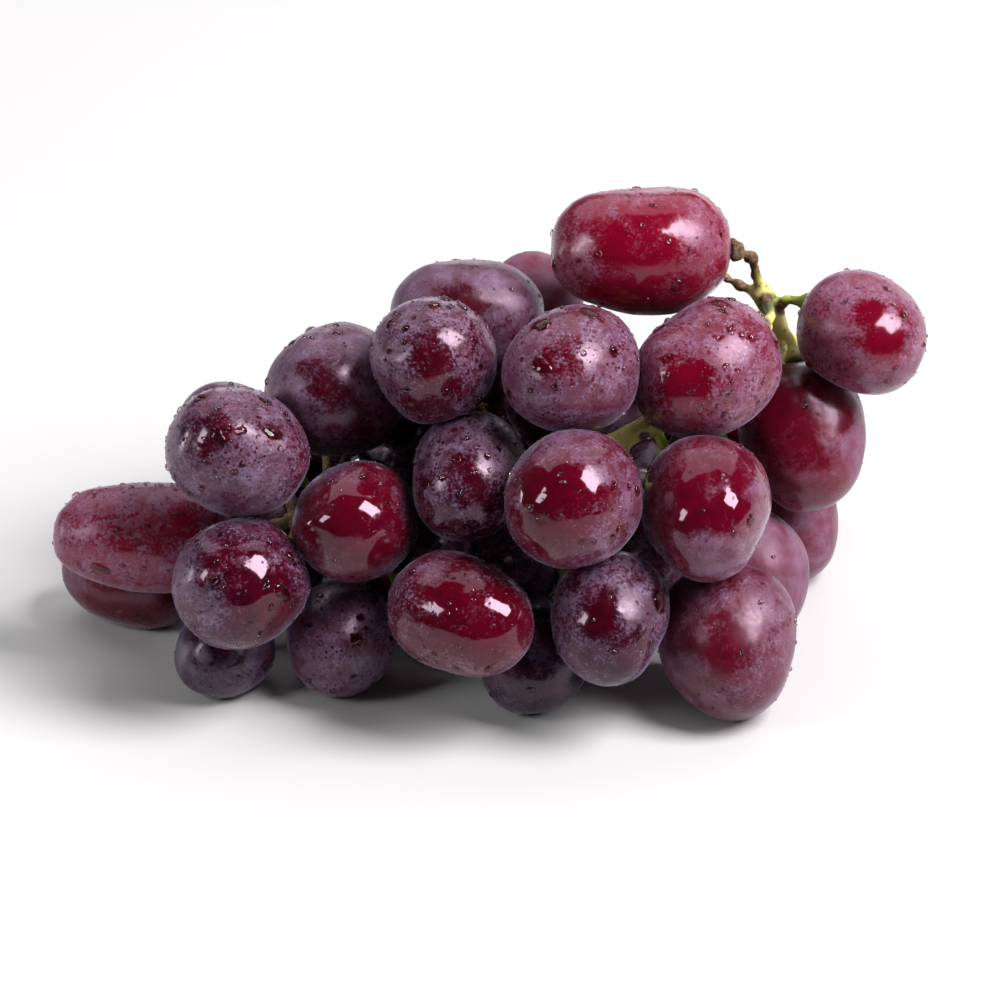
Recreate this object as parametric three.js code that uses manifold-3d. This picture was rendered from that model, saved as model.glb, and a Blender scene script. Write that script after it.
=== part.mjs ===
// A bunch of large red table grapes, picked and laid on its side on a flat surface.
// Millimetres, +Z up. The origin is on that surface, under the middle of the bunch.
// +X runs from the tip of the bunch to its shoulder, and +Y to its back.

import * as THREE from "three";
import { mergeVertices } from "three/addons/utils/BufferGeometryUtils.js";
import Module from "manifold-3d";

// The sight plane, in which the berries of the front are laid out.
const SIGHT_RISE = THREE.MathUtils.degToRad(32); // how steeply the front is looked down on
const SIGHT_HEIGHT = 38; // of the plane's middle above the surface

// The berries' form.
const BLUNTNESS = 2.25; // 2 is a true ellipsoid, more gives fuller shoulders
const TAPER = 0.07; // how much a berry slims to its blossom end and swells to its stalk end
const LUMPS = [
  { size: 0.022, order: 2 },
  { size: 0.022, order: 2 },
  { size: 0.014, order: 3 },
]; // low waves that make a berry uneven, as shares of its radius
const BODY_SHARE = 0.985; // what the waves start from
const SEAT_DEPTH = 0.5; // of the flat that the stalk's cap sits on
const SKIN_GAP = 0.3; // between two berries, and between a cap and its berry
const PRESS = 0.035; // share of their reach that two berries give where they press on each other
const REST_PRESS = 0.8; // how far a berry is flattened where it rests on the surface
const BERRY_SIDES = 14;
const BERRY_RINGS = 9;

// The stem's sizes.
const CUT_RADIUS = 3.3; // of the main stem at its cut end
const TIP_RADIUS = 1.4;
const SHOULDER_RADIUS = 2.2;
const STALK_RADIUS = 1.15; // of a stalk that carries one berry
const BRANCH_GROWTH = 0.3; // power of the number of berries by which a branch is thicker
const STEM_CLEARANCE = 1; // between the main stem and the berries
const STALK_CLEARANCE = 0.4;
const CAP_RADIUS = 2.5; // of the swollen end that holds a berry
const CAP_HEIGHT = 2.4;
const CAP_REACH = 3.6; // from a berry's seat to where its stalk is free to turn
const KNOT_SWELL = 1.2; // how much a joint is thicker than what it joins
const STALK_SIDES = 6;
const STEM_SIDES = 8;
const STALK_STEP = 4.5; // length of a straight stretch of a stalk
const STEM_STEP = 6;

// Berries that show from the front: their place across, up and near in the sight plane, girth and
// length, and where the stalk end points. Turn counts anticlockwise from across, and nod tips the
// stalk end away from the viewer.
const FRONT_BERRIES = [
  [28.6, 50.2, -8, 26.2, 36, 0, 8],
  [72.8, 33.2, -15, 24.5, 26.5, 150, 25],
  [40.6, 25.8, 2, 26.5, 31, 38, 25],
  [14.2, 25.8, 10, 25.4, 29, 5, 35],
  [-6.6, 37.2, -12, 23, 31, -6, 15],
  [7, 38.4, -36, 20.5, 22.5, -60, 20],
  [-14, 28, 6, 25, 27, -30, 60],
  [-33, 21.6, -8, 26, 30, -20, 40],
  [-52.6, 10, 0, 26.2, 28.5, -15, 50],
  [-71.6, -7.4, -8, 21.6, 36.5, 0, 5],
  [-74, -15.5, -30, 20, 29, 5, 0],
  [-52, -16.6, 9, 26, 28, 20, 60],
  [-29, -4.6, 7, 24, 26, 30, 55],
  [-6.2, 4.4, 6, 22.8, 28, 75, 45],
  [14, 0.4, 17, 27.2, 29, 30, 60],
  [41.2, -2, 13, 26.2, 30.5, 88, 35],
  [60.6, 13.6, -25, 25, 30.5, 95, 10],
  [57, -7, -46, 23, 26, 100, 0],
  [50, -16.5, -31, 23.5, 27, 90, 10],
  [45.6, -27, -4, 27.4, 32, 97, 20],
  [21.8, -23.8, 10, 23, 28, 85, 35],
  [-7.6, -22.8, 10, 24, 30, 150, 25],
  [-31.6, -26, -9, 22, 24, 60, 40],
  [-55.6, -30, -4, 18, 20.5, 40, 30],
  [7, -31, -3, 21.5, 24, 90, 40],
];

// Berries inside and at the back: x, y, z, girth and length. Their stalk ends point at the stem.
const BACK_BERRIES = [
  [-23, 18, 39, 25, 28],
  [7, 4, 17, 23, 26],
  [-16, 6, 22, 23, 26],
  [-48, 12, 14, 23, 26],
  [-26, 28, 14, 24, 27],
  [-2, 32, 13, 24, 27],
  [26, 14, 18, 24, 27],
  [30, 36, 13, 25, 28],
  [-53, 29, 28, 22, 25],
  [-12, 44, 34, 25, 28],
  [18, 50, 31, 25, 28],
  [42, 52, 25, 25, 28],
  [-30, 40, 36, 24, 27],
  [12, 27, 46, 22, 24],
  [-41, 46, 14, 24, 27],
  [4, 56, 13, 24, 27],
  [57, 56, 12, 22, 24],
];

// The main stem from its cut end to its tip, the branch to the shoulder, and a stalk whose berry
// has been picked off.
const MAIN_STEM = [
  [80, 64, 34],
  [67, 53, 42],
  [56, 42, 47],
  [42, 27, 49],
  [28, 12, 47],
  [8, 9, 39],
  [-18, 8, 34],
  [-42, 11, 26],
  [-58, 12, 19],
];
const SHOULDER_BRANCH = [
  [56, 42, 47],
  [56, 41, 54],
  [52.5, 39, 63],
];
const BARE_STALK = [
  [52.5, 39, 63],
  [49, 41, 62.5],
  [45, 42, 65],
];

const curveThrough = (places) =>
  new THREE.CatmullRomCurve3(places.map((place) => new THREE.Vector3(...place)));

const mainCurve = curveThrough(MAIN_STEM);
const shoulderCurve = curveThrough(SHOULDER_BRANCH);
const bareCurve = curveThrough(BARE_STALK);
const mainRadius = (share) => THREE.MathUtils.lerp(CUT_RADIUS, TIP_RADIUS, share ** 0.7);

// The stem's set curves as points with the radius that the stem has there.
const STEM_SAMPLE = 1.6;
function samplesOf(curve, radiusAt) {
  const count = Math.round(curve.getLength() / STEM_SAMPLE);
  return curve
    .getSpacedPoints(count)
    .map((place, index) => ({ place, radius: radiusAt(index / count) }));
}
const mainSamples = samplesOf(mainCurve, mainRadius);
const shoulderSamples = samplesOf(shoulderCurve, () => SHOULDER_RADIUS);
const bareSamples = samplesOf(bareCurve, () => STALK_RADIUS);
const stemSamples = [...mainSamples, ...shoulderSamples, ...bareSamples];

// Seeded random numbers from 0 to 1, so every run makes the same bunch.
function seededRandom(seed) {
  let state = seed;
  return () => {
    state = (state * 1664525 + 1013904223) % 4294967296;
    return state / 4294967296;
  };
}
const random = seededRandom(7);

const DOWN = new THREE.Vector3(0, 0, -1);
const sightNear = new THREE.Vector3(0, -Math.cos(SIGHT_RISE), Math.sin(SIGHT_RISE));
const fromSight = (across, up, near) =>
  new THREE.Vector3(across, up, near).applyAxisAngle(
    new THREE.Vector3(1, 0, 0),
    Math.PI / 2 - SIGHT_RISE,
  );

function nearestOnStem(place) {
  const nearest = stemSamples.reduce((best, sample) =>
    sample.place.distanceTo(place) < best.place.distanceTo(place) ? sample : best,
  );
  return nearest.place.clone();
}

class Berry {
  // The axis points to the stalk end. Without one, the berry points at the stem.
  constructor(centre, girth, length, axis = null) {
    this.centre = centre;
    this.home = centre.clone();
    this.girth = girth;
    this.length = length;
    this.atFront = axis !== null;
    this.wantedAxis = axis ?? nearestOnStem(centre).sub(centre).normalize();
    this.axis = this.wantedAxis;
  }

  // How far the skin reaches from the centre in a direction.
  reach(direction) {
    const along = Math.abs(direction.dot(this.axis));
    const aside = Math.sqrt(Math.max(0, 1 - along * along));
    const power = BLUNTNESS / (BLUNTNESS - 1);
    const long = ((this.length / 2) * along) ** power;
    return (long + ((this.girth / 2) * aside) ** power) ** (1 / power);
  }

  // How far a point is outside the skin, measured from the centre.
  roomAt(point) {
    const offset = point.clone().sub(this.centre);
    const along = Math.abs(offset.dot(this.axis));
    const aside = Math.sqrt(Math.max(0, offset.lengthSq() - along * along));
    const long = (along / (this.length / 2)) ** BLUNTNESS;
    const share = (long + (aside / (this.girth / 2)) ** BLUNTNESS) ** (1 / BLUNTNESS);
    return share < 1e-6 ? -this.girth / 2 : offset.length() * (1 - 1 / share);
  }

  // A point on the axis, so far beyond the flat at the stalk end.
  beyondSeat(distance, axis = this.axis) {
    const fromCentre = this.length / 2 - SEAT_DEPTH + distance;
    return this.centre.clone().addScaledVector(axis, fromCentre);
  }
}

function frontBerry([across, up, near, girth, length, turn, nod]) {
  const turned = THREE.MathUtils.degToRad(turn);
  const nodded = THREE.MathUtils.degToRad(nod);
  const axis = fromSight(
    Math.cos(turned) * Math.cos(nodded),
    Math.sin(turned) * Math.cos(nodded),
    -Math.sin(nodded),
  );
  const centre = fromSight(across, up, near);
  centre.z += SIGHT_HEIGHT;
  return new Berry(centre, girth, length, axis);
}

const backBerry = ([x, y, z, girth, length]) =>
  new Berry(new THREE.Vector3(x, y, z), girth, length);

const berries = [...FRONT_BERRIES.map(frontBerry), ...BACK_BERRIES.map(backBerry)];

const roomAmong = (others, point) =>
  others.reduce((least, berry) => Math.min(least, berry.roomAt(point)), point.z);

// Evenly spread directions.
const DIRECTION_COUNT = 400;
const DIRECTIONS = Array.from({ length: DIRECTION_COUNT }, (_, index) => {
  const height = 1 - (2 * index + 1) / DIRECTION_COUNT;
  const angle = index * Math.PI * (3 - Math.sqrt(5));
  const aside = Math.sqrt(1 - height * height);
  return new THREE.Vector3(Math.cos(angle) * aside, Math.sin(angle) * aside, height);
});

// Turns a berry as little as it takes for its cap and stalk to come out clear of the others. A
// millimetre too little of room counts as much as a turn of so many radians.
const EXIT_ROOM = 2; // round the stalk where it leaves the cap
const CAP_ROOM = 3;
const CAP_MIDDLE = 1; // above the seat
const ROOM_WEIGHT = 1.2;
function turnFree(berry) {
  const others = berries.filter((other) => other !== berry);
  const wanted = berry.wantedAxis;
  let least = Infinity;
  for (const axis of [wanted, ...DIRECTIONS]) {
    const exitRoom = roomAmong(others, berry.beyondSeat(CAP_REACH, axis));
    const capRoom = roomAmong(others, berry.beyondSeat(CAP_MIDDLE, axis));
    const short = Math.max(0, EXIT_ROOM - exitRoom) + Math.max(0, CAP_ROOM - capRoom);
    const cost = axis.angleTo(wanted) + ROOM_WEIGHT * short;
    if (cost < least) {
      least = cost;
      berry.axis = axis.clone();
    }
  }
}

// A berry of the front gives way mostly towards or from the viewer, so it keeps its place in the
// sight plane.
const FRONT_SLIDE = 0.2;
function push(berry, direction, distance) {
  const move = direction.clone().multiplyScalar(distance);
  if (berry.atFront) {
    const deep = move.dot(sightNear) * (1 - FRONT_SLIDE);
    move.multiplyScalar(FRONT_SLIDE).addScaledVector(sightNear, deep);
  }
  berry.centre.add(move);
}

// Shares of the way back home that a berry goes in each round: in the sight plane, in depth, and
// at the back.
const FRONT_PULL = 0.1;
const FRONT_DEEP_PULL = 0.01;
const BACK_PULL = 0.03;
function pullHome(berry) {
  const back = berry.home.clone().sub(berry.centre);
  if (!berry.atFront) {
    berry.centre.addScaledVector(back, BACK_PULL);
    return;
  }
  const deep = back.dot(sightNear) * (FRONT_DEEP_PULL - FRONT_PULL);
  berry.centre.addScaledVector(back, FRONT_PULL).addScaledVector(sightNear, deep);
}

// Moves the berries apart until they only press on each other and on the surface, and the main
// stem has its room. A berry just above the surface sinks onto it.
const SINK_REACH = 2.5;
const SINK_STEP = 0.08;
function settle(rounds, pulled) {
  for (let round = 0; round < rounds; round++) {
    if (pulled) berries.forEach(pullHome);
    berries.forEach((one, index) => {
      for (const other of berries.slice(index + 1)) {
        const between = other.centre.clone().sub(one.centre);
        const distance = between.length();
        between.divideScalar(distance);
        const wanted = (one.reach(between) + other.reach(between)) * (1 - PRESS);
        if (distance >= wanted) continue;
        push(other, between, (wanted - distance) / 2);
        push(one, between, (distance - wanted) / 2);
      }
      for (const { place, radius } of stemSamples) {
        const away = one.centre.clone().sub(place);
        const distance = away.length();
        away.divideScalar(distance);
        const wanted = one.reach(away) + radius + STEM_CLEARANCE;
        if (distance < wanted) push(one, away, (wanted - distance) / 2);
      }
      const resting = one.reach(DOWN) - REST_PRESS;
      if (one.centre.z < resting + SINK_REACH) one.centre.z -= SINK_STEP;
      one.centre.z = Math.max(one.centre.z, resting);
    });
  }
}

berries.forEach(turnFree);
settle(350, true);
berries.forEach(turnFree);
settle(250, true);
berries.forEach(turnFree);
settle(150, false);

// The flats that the neighbours and the stalk's cap give a berry: each is a direction from its
// centre, and how far out the skin may reach there.
function flatsOf(berry) {
  const flats = [{ out: berry.axis, limit: berry.length / 2 - SEAT_DEPTH }];
  for (const other of berries) {
    if (other === berry) continue;
    const out = other.centre.clone().sub(berry.centre);
    const distance = out.length();
    out.divideScalar(distance);
    const own = berry.reach(out);
    const both = own + other.reach(out);
    if (both < distance - SKIN_GAP) continue;
    flats.push({ out, limit: (distance * own) / both - SKIN_GAP / 2 });
  }
  return flats;
}

// A closed mesh with only positions.
function bare(geometry) {
  geometry.deleteAttribute("normal");
  geometry.deleteAttribute("uv");
  return mergeVertices(geometry, 1e-3);
}

// Solids, for cuts and joins.
const library = await Module();
library.setup();

function solidOf(geometry) {
  const merged = bare(geometry);
  return new library.Manifold(
    new library.Mesh({
      numProp: 3,
      vertProperties: new Float32Array(merged.getAttribute("position").array),
      triVerts: new Uint32Array(merged.index.array),
    }),
  );
}

function geometryOf(solid) {
  const { vertProperties, triVerts } = solid.getMesh();
  return new THREE.BufferGeometry()
    .setAttribute("position", new THREE.BufferAttribute(vertProperties, 3))
    .setIndex(new THREE.BufferAttribute(triVerts, 1));
}

function berrySolid(berry) {
  const geometry = new THREE.SphereGeometry(1, BERRY_SIDES, BERRY_RINGS);
  const upright = new THREE.Vector3(0, 1, 0);
  const turned = new THREE.Quaternion().setFromUnitVectors(upright, berry.axis);
  const lumps = LUMPS.map(({ size, order }) => {
    const out = new THREE.Vector3(random() - 0.5, random() - 0.5, random() - 0.5).normalize();
    return { size, order, out };
  });
  const flats = flatsOf(berry);
  const position = geometry.getAttribute("position");
  const point = new THREE.Vector3();
  for (let index = 0; index < position.count; index++) {
    point.fromBufferAttribute(position, index);
    const long = (Math.abs(point.y) / (berry.length / 2)) ** BLUNTNESS;
    const wide = (Math.hypot(point.x, point.z) / (berry.girth / 2)) ** BLUNTNESS;
    const radius = (long + wide) ** (-1 / BLUNTNESS);
    const uneven = lumps.reduce(
      (sum, { size, order, out }) => sum + size * point.dot(out) ** order,
      BODY_SHARE,
    );
    const slimming = 1 + TAPER * point.y;
    point.multiplyScalar(radius * uneven);
    point.x *= slimming;
    point.z *= slimming;
    point.applyQuaternion(turned);
    for (const { out, limit } of flats) {
      const outward = point.dot(out);
      if (outward > limit) point.multiplyScalar(limit / outward);
    }
    position.setXYZ(index, point.x, point.y, point.z);
  }
  const below = new THREE.BoxGeometry(2 * berry.length, 2 * berry.length, berry.length);
  below.translate(0, 0, -berry.centre.z - berry.length / 2);
  return solidOf(geometry).subtract(solidOf(below));
}

const berrySolids = berries.map(berrySolid);

// The search for the stalks' ways: on a grid of cells, the cheapest clear way from every cell to
// the stem, where narrow places cost more. Ways that meet go on together, and so make branches.
const CELL = 1.5;
const GRID_MARGIN = 6;
const LEAST_ROOM = STALK_RADIUS + 0.15;
const NARROWNESS_COST = 1.5;
const STALKLESS_SHARE = 0.2; // of the main stem, from its cut end

const grid = new THREE.Box3().setFromPoints([
  ...berries.map((berry) => berry.centre),
  ...stemSamples.map((sample) => sample.place),
]);
grid.expandByScalar(GRID_MARGIN);
const cells = grid.getSize(new THREE.Vector3()).divideScalar(CELL).ceil();
const cellNumber = (x, y, z) => x + cells.x * (y + cells.y * z);

function cellPlace(cell) {
  const layer = cells.x * cells.y;
  const step = new THREE.Vector3(
    cell % cells.x,
    Math.floor((cell % layer) / cells.x),
    Math.floor(cell / layer),
  );
  return step.multiplyScalar(CELL).add(grid.min);
}

function cellAt(place) {
  const step = place.clone().sub(grid.min).divideScalar(CELL).round();
  return cellNumber(step.x, step.y, step.z);
}

// A queue that gives back its nearest entry first.
class NearestFirst {
  entries = [];

  swap(one, other) {
    const { entries } = this;
    [entries[one], entries[other]] = [entries[other], entries[one]];
  }

  add(distance, cell) {
    const { entries } = this;
    let at = entries.push({ distance, cell }) - 1;
    while (at > 0) {
      const parent = (at - 1) >> 1;
      if (entries[parent].distance <= entries[at].distance) break;
      this.swap(parent, at);
      at = parent;
    }
  }

  take() {
    const { entries } = this;
    this.swap(0, entries.length - 1);
    const nearest = entries.pop();
    let at = 0;
    for (;;) {
      let child = 2 * at + 1;
      if (child >= entries.length) break;
      const next = entries[child + 1];
      if (next && next.distance < entries[child].distance) child++;
      if (entries[at].distance <= entries[child].distance) break;
      this.swap(at, child);
      at = child;
    }
    return nearest;
  }
}

function searchWays() {
  const steps = [];
  for (let index = 0; index < 27; index++) {
    const x = (index % 3) - 1;
    const y = (Math.floor(index / 3) % 3) - 1;
    const z = Math.floor(index / 9) - 1;
    const length = CELL * Math.hypot(x, y, z);
    if (length > 0) steps.push({ jump: cellNumber(x, y, z), length });
  }
  const count = cells.x * cells.y * cells.z;
  const inner = grid.clone().expandByScalar(-2 * CELL);
  const room = new Float32Array(count).fill(NaN);
  const distances = new Float32Array(count).fill(Infinity);
  const nextCell = new Int32Array(count).fill(-1);
  const queue = new NearestFirst();
  const stalkless = Math.round(mainSamples.length * STALKLESS_SHARE);
  for (const { place } of [...mainSamples.slice(stalkless), ...shoulderSamples]) {
    distances[cellAt(place)] = 0;
    queue.add(0, cellAt(place));
  }
  while (queue.entries.length) {
    const { distance, cell } = queue.take();
    if (distance > distances[cell] || !inner.containsPoint(cellPlace(cell))) continue;
    for (const { jump, length } of steps) {
      const next = cell + jump;
      if (distances[next] <= distance) continue;
      if (Number.isNaN(room[next])) room[next] = roomAmong(berries, cellPlace(next));
      if (room[next] < LEAST_ROOM) continue;
      const through = distance + length * (1 + NARROWNESS_COST / room[next]);
      if (through >= distances[next]) continue;
      distances[next] = through;
      nextCell[next] = cell;
      queue.add(through, next);
    }
  }
  return { distances, nextCell };
}

// The reached cell that a stalk best goes to from where it leaves its cap: one close by, with a
// preference for a short way on.
const SNAP_SPAN = 4;
const WAY_WEIGHT = 0.02;
function wayFrom(place, distances) {
  let best = -1;
  let least = Infinity;
  const middle = cellAt(place);
  for (let z = -SNAP_SPAN; z <= SNAP_SPAN; z++)
    for (let y = -SNAP_SPAN; y <= SNAP_SPAN; y++)
      for (let x = -SNAP_SPAN; x <= SNAP_SPAN; x++) {
        const cell = middle + cellNumber(x, y, z);
        const cost = cellPlace(cell).distanceTo(place) + WAY_WEIGHT * distances[cell];
        if (cost < least) {
          best = cell;
          least = cost;
        }
      }
  return best;
}

// The stalks as joints, each leading on to the next one on its way to the stem.
function growStalks() {
  const { distances, nextCell } = searchWays();
  const joints = new Map();
  const jointAt = (cell) => {
    if (!joints.has(cell)) {
      const next = nextCell[cell] < 0 ? null : jointAt(nextCell[cell]);
      joints.set(cell, { place: cellPlace(cell), next, from: [], load: 0, fixed: !next });
      next?.from.push(joints.get(cell));
    }
    return joints.get(cell);
  };
  const ends = berries.map((berry) => {
    const place = berry.beyondSeat(SKIN_GAP + CAP_REACH);
    const cell = wayFrom(place, distances);
    if (cell < 0) throw new Error("a berry has no clear way to the stem");
    const next = jointAt(cell);
    const end = { place, next, from: [], load: 0, fixed: true, berry };
    next.from.push(end);
    return end;
  });
  for (const end of ends) {
    for (let joint = end; joint; joint = joint.next) joint.load++;
  }
  const all = [...ends, ...joints.values()];
  for (const joint of all) {
    joint.radius = STALK_RADIUS * joint.load ** BRANCH_GROWTH;
    if (!joint.next) joint.place = nearestOnStem(joint.place);
  }
  return all;
}

// Draws the stalks straight, and out of the berries that they come too near.
const DRAW_ROUNDS = 120;
function drawStraight(joints) {
  for (let round = 0; round < DRAW_ROUNDS; round++)
    for (const joint of joints) {
      if (joint.fixed) continue;
      const middle = new THREE.Vector3();
      joint.from.forEach((other) => middle.addScaledVector(other.place, 1 / joint.from.length));
      middle.add(joint.next.place).divideScalar(2);
      joint.place.lerp(middle, 0.5);
      for (const berry of berries) {
        const short = joint.radius + STALK_CLEARANCE - berry.roomAt(joint.place);
        if (short <= 0) continue;
        const away = joint.place.clone().sub(berry.centre).normalize();
        joint.place.addScaledVector(away, short);
      }
    }
}

// A round bar along a curve, whose radius follows the share of the way along it.
function barAlong(curve, radiusAt, sides, stepLength) {
  const steps = Math.max(2, Math.round(curve.getLength() / stepLength));
  const ring = Array.from({ length: sides }, (_, index) => {
    const angle = (2 * Math.PI * index) / sides;
    return new THREE.Vector2(Math.cos(angle), Math.sin(angle));
  });
  const geometry = new THREE.ExtrudeGeometry(new THREE.Shape(ring), { steps, extrudePath: curve });
  const middles = curve.getSpacedPoints(steps);
  const position = geometry.getAttribute("position");
  const point = new THREE.Vector3();
  for (let index = 0; index < position.count; index++) {
    point.fromBufferAttribute(position, index);
    const away = middles.map((middle) => Math.abs(middle.distanceTo(point) - 1));
    const step = away.indexOf(Math.min(...away));
    point.sub(middles[step]).multiplyScalar(radiusAt(step / steps)).add(middles[step]);
    position.setXYZ(index, point.x, point.y, point.z);
  }
  return solidOf(geometry);
}

function knotAt(place, radius) {
  return solidOf(new THREE.IcosahedronGeometry(radius, 0).translate(place.x, place.y, place.z));
}

// The swollen end of a stalk, widest just above the berry.
function capOn(berry) {
  const profile = [
    [0, 0],
    [CAP_RADIUS, 0],
    [CAP_RADIUS * 1.08, CAP_HEIGHT * 0.3],
    [STALK_RADIUS * 1.4, CAP_HEIGHT],
    [0, CAP_HEIGHT],
  ].map(([aside, up]) => new THREE.Vector2(aside, up));
  const geometry = new THREE.LatheGeometry(profile, STALK_SIDES);
  const upright = new THREE.Vector3(0, 1, 0);
  geometry.applyQuaternion(new THREE.Quaternion().setFromUnitVectors(upright, berry.axis));
  const seat = berry.beyondSeat(SKIN_GAP);
  return solidOf(geometry.translate(seat.x, seat.y, seat.z));
}

// The stretch of stalk from a joint to the next fork, or to the stem. Every second joint is enough
// for its curve.
const ROOT_DEPTH = 0.4; // of a stalk's start above the foot of its cap
function stretchFrom(joint) {
  const places = joint.berry ? [joint.berry.beyondSeat(SKIN_GAP + ROOT_DEPTH)] : [];
  places.push(joint.place);
  let at = joint;
  do {
    at = at.next;
    places.push(at.place);
  } while (at.next && at.from.length === 1);
  const last = places.length - 1;
  const chosen = places.filter((_, index) => index % 2 === 0 || index === 1 || index === last);
  const curve = new THREE.CatmullRomCurve3(chosen);
  return barAlong(curve, () => joint.radius, STALK_SIDES, STALK_STEP);
}

// The whole stem, cut clear of the berries that a stalk brushes against.
const SWELL = 1.015; // of a berry, for the gap round it
function stemGeometry() {
  const joints = growStalks();
  drawStraight(joints);
  const solids = [
    barAlong(mainCurve, mainRadius, STEM_SIDES, STEM_STEP),
    barAlong(shoulderCurve, () => SHOULDER_RADIUS, STEM_SIDES, STALK_STEP),
    barAlong(bareCurve, () => STALK_RADIUS, STALK_SIDES, STALK_STEP),
    knotAt(shoulderCurve.getPoint(1), SHOULDER_RADIUS * KNOT_SWELL),
    ...berries.map(capOn),
  ];
  for (const joint of joints) {
    const forked = joint.from.length > 1;
    if (joint.next && (joint.berry || forked)) solids.push(stretchFrom(joint));
    if (joint.next && forked) solids.push(knotAt(joint.place, joint.radius * KNOT_SWELL));
  }
  const whole = solids.reduce((joined, solid) => joined.add(solid));
  return geometryOf(
    berries.reduce((rest, berry, index) => {
      const swollen = geometryOf(berrySolids[index]).scale(SWELL, SWELL, SWELL);
      return rest.subtract(solidOf(swollen.translate(...berry.centre)));
    }, whole),
  );
}

// Berries near the tip are plum blue, and those at the shoulder, which ripen last, are red.
const PLUM = new THREE.Color(0x3b1a2e);
const RED = new THREE.Color(0x7d1226);

function berryMesh(berry, index) {
  const ripeness = THREE.MathUtils.smoothstep(berry.centre.x, -80, 80);
  const color = new THREE.Color().lerpColors(PLUM, RED, ripeness);
  const skin = new THREE.MeshStandardMaterial({ color, roughness: 0.35, metalness: 0 });
  const mesh = new THREE.Mesh(geometryOf(berrySolids[index]), skin);
  mesh.name = "grape_" + String(index + 1).padStart(2, "0");
  mesh.position.copy(berry.centre);
  return mesh;
}

function stemMesh() {
  const bark = new THREE.MeshStandardMaterial({ color: 0x7d8a3a, roughness: 0.7, metalness: 0 });
  const mesh = new THREE.Mesh(stemGeometry(), bark);
  mesh.name = "stem";
  return mesh;
}

const bunch = new THREE.Group();
bunch.add(stemMesh(), ...berries.map(berryMesh));

const footprint = new THREE.Box3().setFromObject(bunch);
const middle = footprint.getCenter(new THREE.Vector3());
bunch.position.set(-middle.x, -middle.y, -footprint.min.z);

export default bunch;
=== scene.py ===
"""Looks for one bunch of large red table grapes that lies on its side.

Each grape gets a fine, smooth skin drawn over its plain solid, with a puckered stalk end, a small
scar at the blossom end, pale wax that is rubbed off in places, and drops of water. The branching
stem gets bark with knots and dents. A pale floor, soft studio light and a camera complete the scene.
"""

import logging
import math
import random
from dataclasses import dataclass, field
from enum import Enum

import bmesh
import bpy
import numpy as np
from mathutils import Matrix, Vector, noise
from mathutils.bvhtree import BVHTree


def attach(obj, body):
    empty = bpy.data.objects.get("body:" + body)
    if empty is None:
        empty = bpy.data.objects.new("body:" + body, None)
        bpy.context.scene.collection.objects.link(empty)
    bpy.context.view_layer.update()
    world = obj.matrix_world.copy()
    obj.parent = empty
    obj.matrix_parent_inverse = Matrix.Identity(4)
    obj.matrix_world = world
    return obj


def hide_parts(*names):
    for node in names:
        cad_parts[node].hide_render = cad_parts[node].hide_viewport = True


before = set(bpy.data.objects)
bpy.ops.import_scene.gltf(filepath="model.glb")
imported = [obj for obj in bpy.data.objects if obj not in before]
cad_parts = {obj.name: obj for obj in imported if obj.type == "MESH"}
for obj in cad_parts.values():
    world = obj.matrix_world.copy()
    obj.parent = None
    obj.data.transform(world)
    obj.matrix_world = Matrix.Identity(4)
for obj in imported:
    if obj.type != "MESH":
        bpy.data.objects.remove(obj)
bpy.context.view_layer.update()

MM = 0.001
BODY = "root"
STEM = "stem"
log = logging.getLogger("grapes")

Colour = tuple[float, float, float]
Mesh = bpy.types.Mesh
Thing = bpy.types.Object
Socket = bpy.types.NodeSocket
Shape = bmesh.types.BMesh


class Slot(Enum):
    """The record's material slots."""

    DARK = "skin_dark"
    WINE = "skin_wine"
    RED = "skin_red"
    STEM = "stem"
    WATER = "water"


@dataclass(frozen=True)
class Sight:
    """How the bunch is seen: a long lens that looks down on it from the front.

    Attributes:
        rise: Height of the camera above the horizon, in radians.
        centre: The point in the middle of the picture, in metres.
        span: Width of the picture at that point, in metres.
        distance: From that point to the camera, in metres.
        sensor: Width of the film, in millimetres.
    """

    rise: float = math.radians(32)
    centre: tuple[float, float, float] = (2.01 * MM, -16.53 * MM, 38 * MM)
    span: float = 0.2
    distance: float = 4
    sensor: float = 36

    def direction(self, right: float, up: float, toward: float) -> Vector:
        """Turns a direction given as the camera sees it into one of the bunch's own.

        Args:
            right: Share to the right.
            up: Share upwards in the picture.
            toward: Share towards the camera.

        Returns:
            The direction, with a length of one.
        """
        sine, cosine = math.sin(self.rise), math.cos(self.rise)
        across = Vector((1, 0, 0))
        upward = Vector((0, sine, cosine))
        nearer = Vector((0, -cosine, sine))
        return (across * right + upward * up + nearer * toward).normalized()

    def facing(self, right: float, up: float) -> Vector:
        """The direction of the spot on a ball that the camera sees at right and up of its middle."""
        return self.direction(right, up, math.sqrt(max(0.0, 1 - right * right - up * up)))

    def aim(self, thing: Thing, toward: Vector, distance: float) -> None:
        """Puts a lamp or the camera at a distance from the picture's middle and turns it there."""
        thing.location = Vector(self.centre) + toward * distance
        thing.rotation_euler = toward.to_track_quat("Z", "Y").to_euler()

    def picture(self, points: np.ndarray) -> np.ndarray:
        """Where points land in the picture.

        Args:
            points: Points of the bunch, in metres, one a row.

        Returns:
            Their distances to the right of and above the picture's middle, in millimetres.
        """
        apart = points - np.array(self.centre)
        across = np.array(self.direction(1, 0, 0))
        upward = np.array(self.direction(0, 1, 0))
        return np.stack([apart @ across, apart @ upward], axis=1) / MM


SIGHT = Sight()


@dataclass(frozen=True)
class Spot:
    """A place on a grape, as the camera sees it, where something is added that fades outwards.

    Attributes:
        right: How far right of the grape's middle it lies, as a share of the half width.
        up: How far above the middle, likewise.
        reach: How far it spreads, likewise.
        amount: What it adds: a share of the wax to a patch, or millimetres of height to a lobe.
    """

    right: float
    up: float
    reach: float
    amount: float


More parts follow.
